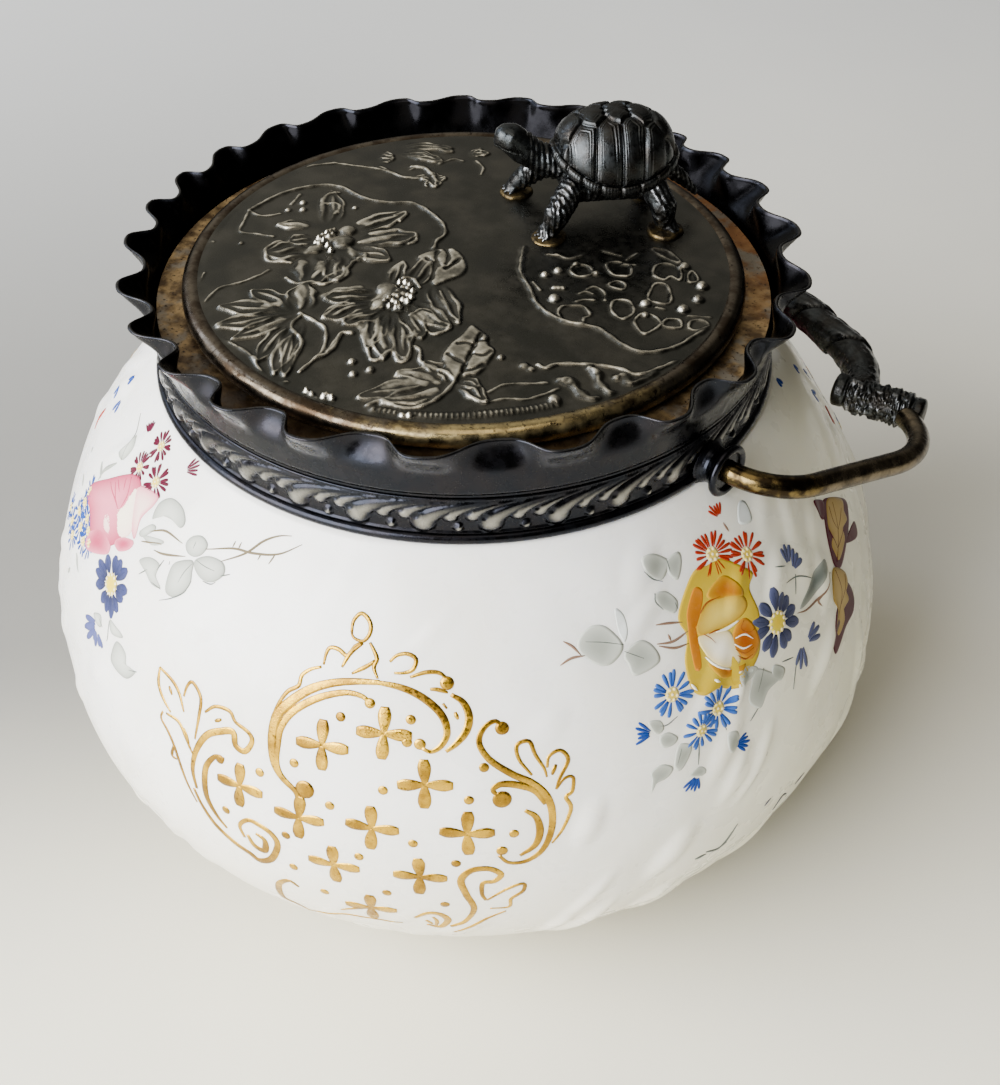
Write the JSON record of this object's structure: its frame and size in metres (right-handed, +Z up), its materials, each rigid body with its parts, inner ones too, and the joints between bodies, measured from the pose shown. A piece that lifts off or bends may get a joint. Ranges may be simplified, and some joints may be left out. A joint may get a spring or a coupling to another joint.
{
  "type": "biscuit jar",
  "caption": "Squat opal glass biscuit jar with a dark plated collar and crimped frill, a lift-off embossed lid with a turtle finial, and a swinging branch-shaped bail handle.",
  "frame": {"origin": "centre of the foot ring, on the surface that the jar stands on", "axes": "+Z up through the lid; X is the line that the bail turns about, with +X towards the front lug; the resting bail lies towards +Y"},
  "size_m": [0.178, 0.178, 0.1526],
  "materials": {
    "opal_glass": "satin white opal glass",
    "enamel": "hand-painted enamel, fired, slightly raised",
    "gilding": "fired gilding, slightly worn",
    "plaster": "dry plaster",
    "oxidised_plate": "silver plate gone dark, polished on the high places",
    "worn_seat_plate": "plate worn through to copper brown, mottled",
    "tarnished_brass": "tarnished brass with polished streaks",
    "pewter_lid": "dark pewter, rubbed bright on the relief",
    "cast_pewter": "dark cast metal",
    "solder": "bright solder",
    "worn_rod_plate": "worn plate, brown and gold",
    "cast_bark": "dark cast metal, bark texture"
  },
  "bodies": {
    "jar": {"glass_bowl": "opal_glass", "plaster_seal": "plaster", "collar_wall": "oxidised_plate", "collar_foot_bead": "oxidised_plate", "gadroon_strip": "oxidised_plate", "collar_frill": "oxidised_plate", "seat_ring": "worn_seat_plate", "handle_lug_front": "oxidised_plate", "handle_lug_rear": "oxidised_plate", "lug_wire_front": "oxidised_plate", "lug_wire_rear": "oxidised_plate"},
    "lid": {"lid_plate": "pewter_lid", "lid_rim_bead": "tarnished_brass", "lid_flange": "tarnished_brass", "turtle_shell": "cast_pewter", "turtle_body": "cast_pewter", "turtle_solder": "solder"},
    "bail": {"bail_rod_front": "worn_rod_plate", "bail_rod_rear": "worn_rod_plate", "bail_knot_front": "cast_bark", "bail_knot_rear": "cast_bark", "bail_grip": "cast_bark"}
  },
  "joints": [
    {"name": "lid_lift", "type": "slide", "parent": "jar", "child": "lid", "axis": [0, 0, 1], "range_m": [0, 0.12]},
    {"name": "bail_swing", "type": "hinge", "parent": "jar", "child": "bail", "pos_m": [0, 0, 0.11207], "axis": [1, 0, 0], "range_deg": [0, 201.5]}
  ]
}
